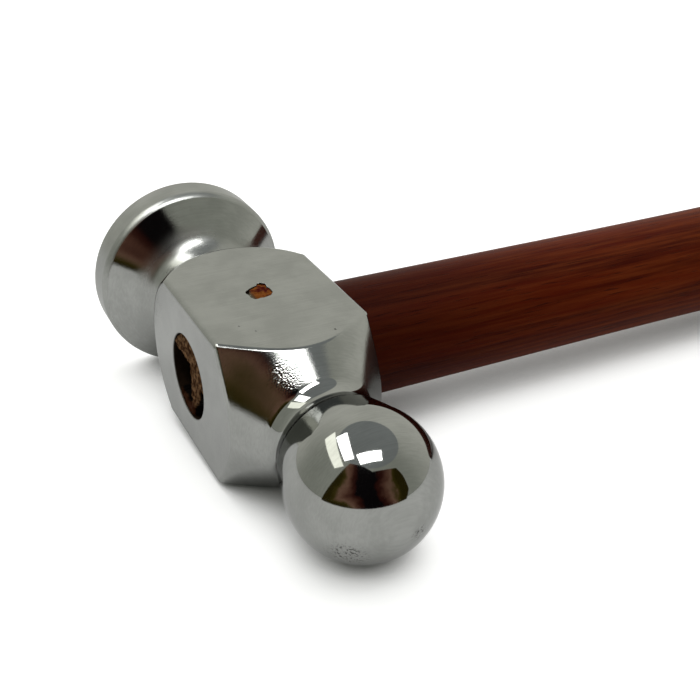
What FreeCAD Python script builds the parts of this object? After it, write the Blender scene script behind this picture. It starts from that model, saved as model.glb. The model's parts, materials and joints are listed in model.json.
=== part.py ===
import FreeCAD, Part
import math
import os

from FreeCAD import Placement, Rotation, Vector

# A small ball peen hammer, in millimetres.
#
# Each piece is modelled in the hammer's own working frame: the head's axis is Y, with the ball
# peen towards -Y and the striking face towards +Y, the handle runs along +X, and the cheek that
# the cross pin enters faces +Z. The centre of the eye is the working origin.
# The finished hammer is then laid down on three points, the rim of the face, the ball and the
# grip, so that it rests on the plane Z = 0 with its origin at the bottom centre of its box.

# Head: the square middle
body_width = 20.0              # across flats
body_edge_rounding = 0.45      # on the four long edges
blank_allowance = 0.3          # how far the turned blank stands outside the square's corners

# Head: the ball peen side
ball_radius = 8.9
ball_place = 28.2              # ball's centre, from the centre of the eye
root_radius = 7.45             # edge where the straight root that runs off the ball ends
root_place = 21.8
peen_hollow = 3.0              # radius of the grooved neck between the root and the cone
cone_slope_deg = 39.0          # cone's slope against the head's axis
peen_flat_reach = 14.55        # where the cone meets the middle of each flat
cone_run_on = 1.0              # how far out past there the cone turns into the cove
cove_radius = 40.0             # hollow cove from the cone out to the blank

# Head: the striking face side
face_place = 30.3              # plane of the striking face, from the centre of the eye
rim_radius = 13.75
rim_width = 5.0                # the rim's straight band and its two rounded edges
face_edge_rounding = 0.8
rim_inner_rounding = 1.6
flare_slope_deg = 54.5         # flare's slope against the head's axis
face_hollow = 4.4              # radius of the hollow neck between the flare and the shoulder
shoulder_standout = 0.508      # bulged shoulder, a sphere this much larger than the blank
face_shoulder_place = 2.55     # that sphere's centre, on the head's axis

# Eye and tenon
eye_radius = 5.6
eye_edge_rounding = 0.15
tenon_clearance = 0.05
tenon_recess = 0.3             # tenon's end, below the head's outer flat
tenon_chamfer = 0.3
shoulder_gap = 0.15            # between the head and the handle's shoulder

# Handle
shaft_radius = 8.15
shaft_straight = 42.0          # length of the straight shaft beside the head
shaft_chamfer = 0.4
waist_radius = 8.75            # a point of the swell from the shaft to the grip
waist_place = 105.0            # places are from the centre of the eye
grip_radius = 10.8             # widest part of the grip
grip_place = 190.0
butt_radius = 9.9
butt_slope = -0.03             # slope of the grip's outline where it reaches the butt
butt_rounding = 4.0
butt_dome = 1.2                # rise of the butt's domed end
handle_reach = 245.0           # top of that dome

# Steel wedge, driven below the tenon's end
wedge_thick_end = 2.6
wedge_thin_end = 0.8
wedge_length = 12.0
wedge_recess = 3.2             # wedge's thick end, below the tenon's end
wedge_offset = 2.4             # towards the striking face
wedge_top = 1.7                # its edge towards the cross pin, from the handle's axis
wedge_wall = 0.25              # wood left between its other edge and the tenon's surface
wedge_chamfer = 0.2
wedge_clearance = 0.03

# Cross pin, through the upper cheek into the tenon
pin_radius = 1.5
pin_clearance = 0.03
pin_recess = 0.08              # pin's end, below the cheek
pin_foot_gap = 0.15            # between the pin's foot and the wedge's edge
pin_chamfer = 0.3
chip_depth = 0.8               # chipped mouth of the hole, which the peened pin fills
chips = [                      # centre along X and Y, and radius
    (-1.25, 0.42, 0.55),
    (0.85, 1.7, 0.62),
    (-1.0, -0.95, 0.62),
]

rest_rounds = 30               # rounds of the search for the attitude at rest
rest_tolerance = 0.01          # how closely the points of that search follow the surfaces
run_out = 1.0                  # how far a cut runs past the surface that it opens
pick_tolerance = 0.01          # for picking edges by their place

head_axis = Vector(0, 1, 0)
handle_axis = Vector(1, 0, 0)
pin_axis = Vector(0, 0, 1)
half_width = body_width / 2
blank_radius = half_width * math.sqrt(2) + blank_allowance
face_shoulder_radius = blank_radius + shoulder_standout
cove_start = half_width + cone_run_on
tenon_radius = eye_radius - tenon_clearance
tenon_end = tenon_recess - half_width
handle_shoulder = half_width + shoulder_gap
wedge_outer_end = tenon_end + wedge_recess
wedge_taper = (wedge_thick_end - wedge_thin_end) / wedge_length
pocket_mouth = wedge_thick_end + wedge_taper * wedge_recess
pocket_side = wedge_offset + pocket_mouth / 2 + wedge_clearance
wedge_foot = -math.sqrt((tenon_radius - wedge_wall) ** 2 - pocket_side ** 2)
pin_foot = wedge_top + pin_foot_gap


def line(start, end):
    return Part.LineSegment(start, end).toShape()


def on_circle(centre, radius, angle):
    """Point of a circle in the plane Z = 0, the angle taken from +X towards +Y."""
    return centre + Vector(math.cos(angle), math.sin(angle), 0) * radius


def arc_about(centre, start, end):
    """Arc in the plane Z = 0 from start to end, the short way round the centre."""
    spoke = start - centre
    other = end - centre
    first = math.atan2(spoke.y, spoke.x)
    sweep = math.atan2(spoke.x * other.y - spoke.y * other.x, spoke.dot(other))
    middle = on_circle(centre, spoke.Length, first + sweep / 2)
    return Part.Arc(start, middle, end).toShape()


def turned(edges, axis):
    """Solid of revolution of a closed outline in the plane Z = 0."""
    face = Part.Face(Part.Wire(edges))
    return face.revolve(Vector(0, 0, 0), axis, 360)


# In the outlines of the head, X is the radius and Y the place along the head's axis.

class Cone:
    """Conical stretch of an outline, through one of its points, that widens towards +Y."""

    def __init__(self, through, slope_deg):
        slope = math.radians(slope_deg)
        self.through = through
        self.along = Vector(math.sin(slope), math.cos(slope), 0)
        self.out = Vector(math.cos(slope), -math.sin(slope), 0)

    def at(self, radius):
        """Point of the cone at a radius."""
        return self.through + self.along * ((radius - self.through.x) / self.along.x)

    def hollow(self, width, centre, radius=0):
        """Centre of a hollow of a radius, width, that touches the cone and a circle."""
        start = self.through + self.out * width - centre
        ahead = start.dot(self.along)
        run = math.sqrt(ahead ** 2 - start.Length ** 2 + (radius + width) ** 2) - ahead
        return centre + start + self.along * run


ball = Vector(0, -ball_place, 0)
root_end = Vector(root_radius, -root_place, 0)
peen_cone = Cone(Vector(half_width, -peen_flat_reach, 0), cone_slope_deg)
peen_neck = peen_cone.hollow(peen_hollow, root_end)
shoulder = Vector(0, face_shoulder_place, 0)
flare = Cone(Vector(rim_radius, face_place - rim_width, 0), flare_slope_deg)
face_neck = flare.hollow(face_hollow, shoulder, face_shoulder_radius)


def peen_outline():
    """Ball, the root that runs off it, grooved neck, cone and cove; ends on the blank."""
    tip = ball - head_axis * ball_radius
    to_end = root_end - ball
    touch = math.atan2(to_end.y, to_end.x) - math.acos(ball_radius / to_end.Length)
    root = on_circle(ball, ball_radius, touch)

    cone_start = peen_neck - peen_cone.out * peen_hollow
    cone_end = peen_cone.at(cove_start)
    cove = cone_end + peen_cone.out * cove_radius
    rise = math.sqrt(cove_radius ** 2 - (cove.x - blank_radius) ** 2)
    return [
        arc_about(ball, tip, root),
        line(root, root_end),
        arc_about(peen_neck, root_end, cone_start),
        line(cone_start, cone_end),
        arc_about(cove, cone_end, Vector(blank_radius, cove.y + rise, 0)),
    ]


def face_outline():
    """Bulged shoulder, hollow neck, flare, rim and striking face; starts on the blank."""
    rise = math.sqrt(face_shoulder_radius ** 2 - blank_radius ** 2)
    blank_end = Vector(blank_radius, face_shoulder_place + rise, 0)
    shoulder_end = shoulder + (face_neck - shoulder).normalize() * face_shoulder_radius

    flare_start = face_neck - flare.out * face_hollow
    flare_end = flare.at(rim_radius - rim_inner_rounding * (1 - flare.out.x))
    inner = flare_end - flare.out * rim_inner_rounding
    band_start = Vector(rim_radius, inner.y, 0)

    outer = Vector(rim_radius - face_edge_rounding, face_place - face_edge_rounding, 0)
    band_end = Vector(rim_radius, outer.y, 0)
    face_edge = Vector(outer.x, face_place, 0)
    return [
        arc_about(shoulder, blank_end, shoulder_end),
        arc_about(face_neck, shoulder_end, flare_start),
        line(flare_start, flare_end),
        arc_about(inner, flare_end, band_start),
        line(band_start, band_end),
        arc_about(outer, band_end, face_edge),
        line(face_edge, head_axis * face_place),
    ]


def round_edges(solid):
    """The solid's round edges; an edge that has shrunk to a point has no curve to look at."""
    edges = [edge for edge in solid.Edges if not edge.Degenerated]
    return [edge for edge in edges if isinstance(edge.Curve, Part.Circle)]


def square_bar(start, end):
    """The body's square section with its rounded long edges, along the head's axis."""
    corner = Vector(-half_width, start, -half_width)
    bar = Part.makeBox(body_width, end - start, body_width, corner)
    long_edges = [edge for edge in bar.Edges if abs(edge.tangentAt(0).y) > 0.5]
    return bar.makeFillet(body_edge_rounding, long_edges)


def make_head():
    peen = peen_outline()
    face = face_outline()
    blank_start = peen[-1].Vertexes[-1].Point
    blank_end = face[0].Vertexes[0].Point
    tip = peen[0].Vertexes[0].Point
    outline = peen + [line(blank_start, blank_end)] + face + [line(head_axis * face_place, tip)]
    blank = turned(outline, head_axis)

    # The square is milled between the two necks, and the rest stays round.
    corner = Vector(-2 * body_width, peen_neck.y, -2 * body_width)
    waste = Part.makeBox(4 * body_width, face_neck.y - peen_neck.y, 4 * body_width, corner)
    head = blank.cut(waste.cut(square_bar(peen_neck.y - run_out, face_neck.y + run_out)))

    eye = Part.makeCylinder(eye_radius, 2 * body_width, Vector(-body_width, 0, 0), handle_axis)
    head = head.cut(eye)
    outer = half_width - pick_tolerance
    mouths = [edge for edge in round_edges(head) if abs(edge.Curve.Center.x) > outer]
    head = head.makeFillet(eye_edge_rounding, mouths)
    return head.cut(pin_hole(0)).cut(chipped_mouth(0))


def pin_hole(inset):
    """Straight part of the pin's hole, or with an inset the pin that fills it."""
    foot = Vector(0, 0, pin_foot + inset)
    return Part.makeCylinder(pin_radius + pin_clearance - inset, half_width, foot, pin_axis)


def chipped_mouth(inset):
    """Chips around the hole's mouth, or with an inset the peened metal that fills them."""
    floor = half_width - chip_depth + inset
    lobes = []
    for x, y, radius in chips:
        lobes.append(Part.makeCylinder(radius - inset, half_width, Vector(x, y, floor), pin_axis))
    return lobes[0].multiFuse(lobes[1:])


def make_cross_pin():
    pin = pin_hole(pin_clearance).fuse(chipped_mouth(pin_clearance))
    above = Vector(-body_width, -body_width, half_width - pin_recess)
    pin = pin.cut(Part.makeBox(2 * body_width, 2 * body_width, body_width, above)).removeSplitter()
    foot = [edge for edge in pin.Edges if edge.BoundBox.ZMax < pin_foot + pin_radius / 2]
    return pin.makeChamfer(pin_chamfer, foot)


# In the handle's outline, X is the place along the handle and Y the radius.

def swell(start, end):
    """Smooth swell of the handle from the straight shaft through waist and grip to the butt."""
    points = [start, Vector(waist_place, waist_radius, 0), Vector(grip_place, grip_radius, 0), end]
    curve = Part.BSplineCurve()
    level = Vector(1, 0, 0)
    falling = Vector(1, butt_slope, 0)
    curve.interpolate(Points=points, InitialTangent=level, FinalTangent=falling)
    return curve.toShape()


def handle_outline():
    tenon_tip = Vector(tenon_end, 0, 0)
    shaft_end = Vector(handle_shoulder + shaft_straight, shaft_radius, 0)
    corners = [
        tenon_tip,
        Vector(tenon_end, tenon_radius - tenon_chamfer, 0),
        Vector(tenon_end + tenon_chamfer, tenon_radius, 0),
        Vector(handle_shoulder, tenon_radius, 0),
        Vector(handle_shoulder, shaft_radius - shaft_chamfer, 0),
        Vector(handle_shoulder + shaft_chamfer, shaft_radius, 0),
        shaft_end,
    ]
    edges = [line(start, end) for start, end in zip(corners, corners[1:])]

    butt_edge = handle_reach - butt_dome
    rounding = Vector(butt_edge - butt_rounding, butt_radius - butt_rounding, 0)
    swell_end = rounding + Vector(0, butt_rounding, 0)
    dome_edge = rounding + Vector(butt_rounding, 0, 0)
    dome_radius = (dome_edge.y ** 2 + butt_dome ** 2) / (2 * butt_dome)
    dome_top = Vector(handle_reach, 0, 0)
    edges.append(swell(shaft_end, swell_end))
    edges.append(arc_about(rounding, swell_end, dome_edge))
    edges.append(arc_about(Vector(handle_reach - dome_radius, 0, 0), dome_edge, dome_top))
    edges.append(line(dome_top, tenon_tip))
    return edges


def wedge_prism(outer_end, inner_end, grow):
    """Tapered prism on the wedge's faces, each face moved out by grow."""
    outer = (wedge_thick_end + wedge_taper * (wedge_outer_end - outer_end)) / 2 + grow
    inner = (wedge_thick_end + wedge_taper * (wedge_outer_end - inner_end)) / 2 + grow
    low = wedge_foot - grow
    corners = [
        Vector(outer_end, wedge_offset - outer, low),
        Vector(inner_end, wedge_offset - inner, low),
        Vector(inner_end, wedge_offset + inner, low),
        Vector(outer_end, wedge_offset + outer, low),
    ]
    face = Part.Face(Part.makePolygon(corners + corners[:1]))
    return face.extrude(Vector(0, 0, wedge_top + grow - low))


def make_eye_wedge():
    wedge = wedge_prism(wedge_outer_end, wedge_outer_end + wedge_length, 0)
    mouth = wedge_outer_end + pick_tolerance
    thick_end = [edge for edge in wedge.Edges if edge.BoundBox.XMax < mouth]
    return wedge.makeChamfer(wedge_chamfer, thick_end)


def make_handle():
    handle = turned(handle_outline(), handle_axis)
    inner_end = wedge_outer_end + wedge_length + wedge_clearance
    handle = handle.cut(wedge_prism(tenon_end - run_out, inner_end, wedge_clearance))
    return handle.cut(pin_hole(0))


def lowest(points, up):
    return min(points, key=lambda point: point.dot(up))


def resting_placement(head, handle):
    """Placement that lays the hammer on the rim of its face, its ball and its grip."""
    head_points = head.tessellate(rest_tolerance)[0]
    handle_points = handle.tessellate(rest_tolerance)[0]
    rim_points = [point for point in head_points if point.y > half_width]
    ball_points = [point for point in head_points if point.y < -root_place]
    grip_points = [point for point in handle_points if point.x > waist_place]
    up = Vector(0, 0, 1)
    for _ in range(rest_rounds):
        rim = lowest(rim_points, up)
        ball = lowest(ball_points, up)
        grip = lowest(grip_points, up)
        up = (grip - ball).cross(rim - ball).normalize()
    attitude = Rotation(handle_axis, Vector(0, 0, 0), up, "ZXY").inverted()
    return Placement(Vector(0, 0, 0), attitude)


def lay_down(pieces):
    """Turn the pieces to rest, and move the bottom centre of their box to the origin."""
    rest = resting_placement(pieces["head"], pieces["handle"])
    laid = {name: piece.transformed(rest.toMatrix(), copy=True) for name, piece in pieces.items()}
    box = Part.Compound(list(laid.values())).optimalBoundingBox(False, False)
    centre = box.Center
    shift = Vector(-centre.x, -centre.y, -box.ZMin)
    for piece in laid.values():
        piece.translate(shift)
    return laid


def main():
    pieces = {
        "head": make_head(),
        "handle": make_handle(),
        "eye_wedge": make_eye_wedge(),
        "cross_pin": make_cross_pin(),
    }
    os.makedirs("parts", exist_ok=True)
    for name, piece in lay_down(pieces).items():
        solids = piece.Solids
        print(name, len(solids), "solid", round(piece.Volume, 2), "mm3", "valid", piece.isValid())
        solids[0].exportStep("parts/" + name + ".step")


main()
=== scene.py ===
import json
import math

import bpy
from mathutils import Matrix, Vector, noise
from mathutils.geometry import delaunay_2d_cdt


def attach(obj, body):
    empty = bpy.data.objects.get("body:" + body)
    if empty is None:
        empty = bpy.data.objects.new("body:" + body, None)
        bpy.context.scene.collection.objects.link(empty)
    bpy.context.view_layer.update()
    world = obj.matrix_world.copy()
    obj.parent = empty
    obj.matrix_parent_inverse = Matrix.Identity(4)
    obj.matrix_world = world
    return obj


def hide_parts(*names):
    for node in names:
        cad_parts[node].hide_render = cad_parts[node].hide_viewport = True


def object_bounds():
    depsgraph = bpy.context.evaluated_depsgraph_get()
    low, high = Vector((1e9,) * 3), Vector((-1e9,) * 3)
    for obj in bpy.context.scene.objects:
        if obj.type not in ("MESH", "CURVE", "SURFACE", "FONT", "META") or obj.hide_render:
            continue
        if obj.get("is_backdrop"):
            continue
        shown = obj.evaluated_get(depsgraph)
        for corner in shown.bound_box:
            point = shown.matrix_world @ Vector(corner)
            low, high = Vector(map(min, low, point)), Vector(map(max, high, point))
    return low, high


# The looks of a small ball peen hammer: a chromed steel head, a stained and varnished handle, the
# steel wedge in the eye and the rusted cross pin.
#
# Each piece is modelled in the hammer's working frame, in metres: the head's axis is Y, with the
# ball towards -Y and the striking face towards +Y, the handle runs along +X, the cheek with the
# pin faces +Z, and the origin is the centre of the eye. The frame's mounts say where that lies.

MM = 0.001

# Head, square middle
half_width = 10.0 * MM
body_edge_rounding = 0.45 * MM
milled_edge_rounding = 0.8 * MM  # where the flats meet the turned shoulders

# Head, ball peen side
ball_radius = 8.9 * MM
ball_place = 28.2 * MM
root_radius = 7.45 * MM  # where the straight root of the ball ends
root_place = 21.8 * MM
peen_hollow = 3.0 * MM  # groove between the root's edge and the cone
peen_flat_reach = 14.55 * MM  # where the cone meets the middle of each flat
cone_slope = math.radians(39)  # of the cone, against the head's axis
cove_radius = 40.0 * MM  # hollow from the cone out to the corners
cove_start = half_width + 1.0 * MM  # radius where the cone turns into the cove

# Head, striking face side
face_place = 30.3 * MM
rim_radius = 13.75 * MM
rim_width = 5.0 * MM
face_edge_rounding = 0.8 * MM
rim_inner_rounding = 1.6 * MM
flare_slope = math.radians(54.5)
face_hollow = 4.4 * MM  # neck between the flare and the bulged shoulder
face_shoulder_radius = half_width * math.sqrt(2) + 0.808 * MM
face_shoulder_place = 2.55 * MM

# Eye, tenon and wedge
eye_radius = 5.6 * MM
eye_edge_rounding = 0.15 * MM
tenon_radius = 5.55 * MM
tenon_end = 0.3 * MM - half_width
wedge_thick_end = 2.6 * MM
wedge_thin_end = 0.8 * MM
wedge_length = 12.0 * MM
wedge_wall = 0.25 * MM  # wood between the pocket and the tenon's surface
wedge_top = 1.7 * MM
wedge_recess = 3.2 * MM
wedge_offset = 2.4 * MM
wedge_chamfer = 0.2 * MM
wedge_dents = 0.12 * MM
wedge_dents_per_mm = 1.3
fit_clearance = 0.03 * MM  # around the wedge and the pin
wedge_taper = (wedge_thick_end - wedge_thin_end) / wedge_length
pocket_far_side = wedge_offset + (wedge_thick_end + wedge_taper * wedge_recess) / 2 + fit_clearance
wedge_foot = -math.sqrt((tenon_radius - wedge_wall) ** 2 - pocket_far_side ** 2)
wedge_middle = (wedge_top + wedge_foot) / 2
wedge_width = wedge_top - wedge_foot

# Torn wood at the tenon's end
end_rounding = 0.15 * MM
torn_spacing = 0.16 * MM
tuft_height = 0.35 * MM
tuft_rise = 0.8  # share that stands out of the cut end
tufts_per_mm = 1.5
ragged_noise = ((0.9, 1.0), (2.3, 0.5))  # features per millimetre and share of each
gap_width = 1.9 * MM  # wood broken out at the rim, low on the ball side
gap_floor = 0.8 * gap_width
gap_depth = 1.6 * MM
gap_below = (-0.3 * MM, 0.7 * MM)  # where it begins and is full, below the eye's axis
gap_beside = (0.8 * MM, 1.8 * MM)  # and towards the ball
gap_raggedness = 0.5 * MM
# darkness of the broken-out gap: painted shade
gap_shade = 0.85
pocket_raggedness = 0.7 * MM
pocket_loss = 1.2 * MM  # wood broken out beside the wedge, on the ball side
pocket_brink = 1.5 * torn_spacing
pocket_lip = 0.4 * MM  # the pocket is ragged from here up, above the wedge

# Cross pin and the chipped mouth of its hole
pin_radius = 1.5 * MM
pin_hole = pin_radius + fit_clearance
pin_recess = 0.08 * MM
pin_foot = wedge_top + 0.15 * MM
pin_chamfer = 0.3 * MM
pin_bumps = 0.16 * MM
pin_bumps_per_mm = 1.7
pin_crown = 0.1 * MM  # rise of its middle over its rim
bare_side = (-1.2 * MM, -0.85 * MM)  # bare up to the first, rusted from the second
bare_sink = 0.3 * MM
chip_depth = 0.8 * MM
chips = [  # along X, along Y and radius
    (-1.25 * MM, 0.42 * MM, 0.55 * MM), (0.85 * MM, 1.7 * MM, 0.62 * MM),
    (-1.0 * MM, -0.95 * MM, 0.62 * MM),
]
mouth_rounding = 0.06 * MM
mouth_raggedness = 0.09 * MM
mouth_noise = ((2.5, 3.7, 1.0), (7.0, 9.1, 0.5))  # scale, seed and share of each

# Handle
handle_shoulder = 10.15 * MM
crease = 0.01 * MM  # width of the sharp corner at the tenon
shaft_radius = 8.15 * MM
shaft_chamfer = 0.4 * MM
shaft_end = 52.15 * MM
waist = (105 * MM, 8.75 * MM)  # place along the handle and radius
grip = (190 * MM, 10.8 * MM)
butt_radius = 9.9 * MM
butt_slope = -0.03
butt_rounding = 4.0 * MM
butt_dome = 1.2 * MM
handle_reach = 245.0 * MM

# How finely the surfaces are divided
side_steps = 56
corner_steps = 6
ball_steps = 84
rounding_steps = 4
shoulder_steps = 18
neck_steps = 16
flare_steps = 12
face_rings = 14
eye_steps = 96
mouth_steps = 96
pin_rings = 14
wedge_steps = 9
handle_columns = 160
tenon_steps = 10
chamfer_steps = 5
shaft_steps = 24
grip_steps = 96
butt_steps = 12
dome_steps = 16

# Colours, as linear red, green and blue
chrome_dull = (0.203, 0.207, 0.197)
chrome_bright = (0.246, 0.25, 0.239)
chrome_edge = (0.7, 0.7, 0.7)
pit_colour = (0.03, 0.028, 0.025)
# Bore walls: dark rust, darkened to near black as painted shade inside the eye and the pin's hole
bore_dark = (0.003, 0.002, 0.0015)
bore_brown = (0.025, 0.015, 0.009)
stain_deep = (0.036, 0.0024, 0.0003)
stain_red = (0.088, 0.0075, 0.0006)
stain_light = (0.16, 0.032, 0.006)
stain_pore = (0.012, 0.0012, 0.0004)
# darkest stain near the head, partly deeper stain and partly painted shade of the head
stain_and_shade_dark = (0.012, 0.0006, 0.0002)
head_shade_reach = (5.0, 60.0)  # darker near the head: deeper stain and painted shade of the head; places in mm
head_shade_share = 0.72  # share of the dark stain and painted shade there
raw_dark = (0.035, 0.013, 0.004)
raw_light = (0.2, 0.11, 0.055)
raw_red = (0.036, 0.011, 0.004)
# black of the wedge's pocket and the broken-out gap: painted shade
pocket_shade_black = (0.002, 0.0012, 0.001)
rust_dark = (0.05, 0.001, 0.0006)
rust_orange = (0.17, 0.048, 0.006)
rust_pale = (0.22, 0.085, 0.02)
bare_metal = (0.06, 0.056, 0.04)
wedge_dark = (0.006, 0.0045, 0.004)
wedge_light = (0.02, 0.016, 0.014)

# Patterns of noise: features per millimetre along X, Y and Z, detail, roughness, distortion and
# how far the pattern is moved
smudge_noise = ((0.25, 0.25, 0.25), 4)
brush_noise = ((0.12, 6, 1.5), 3, 0.6)
bore_noise = ((1.5, 1.5, 1.5), 4)
dot_noise = ((4.5, 4.5, 4.5), 2)
wave_noise = ((0.5, 0.5, 0.5), 1)
band_noise = ((0.012, 0.25, 0.25), 3, 0.5, 0.4)
streak_noise = ((0.06, 1.6, 1.6), 4, 0.6)
fibre_noise = ((0.3, 7, 7), 3)
pore_noise = ((0.22, 4.5, 4.5), 2, 0.5, 0.0, (40, 0, 0))
tuft_noise = ((0.5, 1.4, 1.4), 5)
blotch_noise = ((1.2, 1.2, 1.2), 4)
hammered_noise = ((4, 4, 4), 3)
patch_noise = ((0.9, 0.9, 0.9), 3, 0.5, 0.0, (3, 1, 0))
crumb_noise = ((5, 5, 5), 3)
stroke_scale = (40.0, 8.0)  # around the head's axis, and per millimetre along it
speck_scale = (45.0, 7.0)

# Where each pattern begins and is full
mottle_shares = (0.4, 0.6)  # of the brush marks and the smudges
mottle_step = (0.35, 0.65)
dot_step = (0.53, 0.6)
band_step = (0.35, 0.65)
streak_step = (0.3, 0.75)
pore_step = (0.6, 0.7)
tuft_step = (0.38, 0.66)
patch_step = (0.4, 0.56)
crumb_step = (0.5, 0.7)
raw_red_step = (-2.6, -4.2)  # the wood low in the eye is redder; heights in mm
pocket_shade_step = (0.0, 0.15)  # shares of the dark mark where the wood turns black: painted shade in the pocket and the gap

# Finish of the chrome
mirror_roughness = 0.03
grain_roughness = 0.06
satin_roughness = 0.3
flat_satin = 0.45  # share of the satin finish that the flats have
neck_satin = 0.8
smudge_roughness = 0.05
bore_roughness = 0.7
flare_grain = 0.5  # share of the grain that the flared side has
grain_height = 0.006 * MM  # the heights below are multiples of it
stroke_height = 1.5
speckle_height = 7.0
brush_height = 0.26
wave_height = 0.2
pit_height = -8.0

# Pitted patches and single pits of the plating: place in millimetres and radius
pitted = [((-5.1, -34.5, -3.3), 3.0), ((2.0, -36.8, -1.1), 1.3)]
pitted_edge = 0.2  # share of the radius where a patch starts to fade
speckled_patch = ((-4.0, -16.2, 7.9), 2.7)  # coarsely polished, on the cone
speckled_edge = 0.3
single_pits = [
    ((4.38, -12.29, 10.0), 0.2), ((-5.71, -7.05, 10.0), 0.16), ((-4.35, -8.95, 10.0), 0.16),
]

# Finish of the wood, the wedge and the pin
streak_share = 0.6
pore_share = 0.55
varnish_roughness = 0.42
streak_roughness = 0.15
raw_roughness = 0.85
wedge_roughness = (0.3, 0.4)  # its range and its least
rust_roughness = 0.8
pale_share = 0.5
bare_roughness = 0.45
bare_metallic = 0.7
wood_relief = 0.03 * MM
relief_shares = (0.7, 0.3, -0.6)  # of the streaks, the fibres and the pores
wedge_relief = 0.05 * MM
rust_relief = 0.08 * MM

# Floor and walls
floor_tone = (0.68, 0.68, 0.69)
floor_lift = 0.61
floor_reach = 4.0
open_reach = 0.02  # the lift fades out where the hammer stands this close
open_share = (0.15, 0.6)  # share of open sky where the lift starts and is full
wall_shaded = (0.645, 0.665, 0.59)
wall_lit = (1.2, 1.2, 1.1)
wall_azimuth = math.radians(38)  # where the walls are lightest, from +Y towards +X
wall_spread = (-0.2, 0.85)  # from the shaded to the lit tone, as cosines from there
wall_light = 0.6  # share of the walls' tone that lights rough surfaces

# Ceiling and lights: places and sizes are shares of the ceiling's height above the ball
ceiling_height = 1.2
ceiling_spot = (0.17, -0.07)
ceiling_reach = 0.79
ceiling_tone = (0.5, 0.53, 0.53)
ceiling_steps = 64
light_drop = 0.02  # below the ceiling, in metres
warm_white = (1.0, 1.0, 0.9)
plain_white = (1.0, 1.0, 1.0)
lights = [  # name, place, size, turn, radiance, tone, and if only rough surfaces see it
    ("window_left", (-0.713, 0.34), (0.37, 1.2), -25.5, 2.9, warm_white, False),
    ("window_right", (-0.385, 0.15), (0.275, 0.8), -20.5, 9.0, plain_white, False),
    ("lamp", (-0.02, -0.42), (0.6, 0.3), -11.0, 18.0, plain_white, False),
    ("key", (0.1, 0.15), (1.0, 1.0), 0.0, 2.3, plain_white, True),
]

# Dark screen behind the camera: directions from the ball, in degrees of azimuth and elevation
screen_distance = 0.3
screen_middle = (-155, 22)
screen_outline = [  # and the place of each in the screen's tones
    (-96, -3, 1.0), (-96, 0, 1.0), (-106, 29, 0.95), (-120, 56, 0.6), (-149, 56, 0.1),
    (-170, 47, 0.15), (165, 44, 0.4), (146, 38, 0.8), (143, 26, 1.0), (143, 8, 1.0),
    (150, -3, 0.9), (180, -3, 0.25), (-158, -3, 0.2), (-135, -3, 0.8), (-120, -3, 1.0),
]
screen_rings = 8
screen_blotches = 0.4
screen_scale = 14.0
screen_stops = [
    (0.43, (0.008, 0.006, 0.007)),
    (0.49, (0.05, 0.012, 0.009)),
    (0.56, (0.07, 0.02, 0.014)),
    (0.68, (0.2, 0.09, 0.06)),
    (0.8, (0.34, 0.19, 0.13)),
    (0.9, (0.1, 0.075, 0.014)),
    (1.0, (0.05, 0.038, 0.006)),
]

# Camera
camera_place = Vector((-158.383, -104.259, 69.517)) * MM
camera_yaw = -27.58
camera_pitch = -26.335
camera_roll = -0.383
camera_lens = 50.55

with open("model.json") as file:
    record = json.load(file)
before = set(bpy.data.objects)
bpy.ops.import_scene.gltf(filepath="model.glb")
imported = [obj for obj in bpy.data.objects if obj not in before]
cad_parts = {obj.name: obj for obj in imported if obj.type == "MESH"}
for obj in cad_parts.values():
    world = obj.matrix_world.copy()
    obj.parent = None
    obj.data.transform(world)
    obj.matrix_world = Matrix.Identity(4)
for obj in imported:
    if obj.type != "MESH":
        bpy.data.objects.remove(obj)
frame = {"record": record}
cad_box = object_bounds()
no_normal = Vector((0, 0, 0))  # leaves the normal to the faces around the point


def working_frame():
    """Matrix from the hammer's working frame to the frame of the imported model."""
    mounts = {mount["name"]: mount for mount in frame["record"]["mounts"]}
    face = mounts["striking_face"]
    head_axis = Vector(face["axis"]).normalized()
    up = Vector(mounts["upper_cheek"]["axis"]).normalized()
    along = head_axis.cross(up)
    eye = Vector(face["pos_m"]) - head_axis * face_place
    turn = Matrix((along, head_axis, up)).transposed().to_4x4()
    return Matrix.Translation(eye) @ turn


working = working_frame()


def new_object(name, data):
    added = bpy.data.objects.new(name, data)
    bpy.context.scene.collection.objects.link(added)
    return added


def new_piece(name, points, faces, material):
    mesh = bpy.data.meshes.new(name)
    mesh.from_pydata(points, [], faces)
    mesh.materials.append(material)
    return new_object(name, mesh)


def add_mark(piece, name, values):
    piece.data.attributes.new(name, "FLOAT", "POINT").data.foreach_set("value", values)


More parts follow.
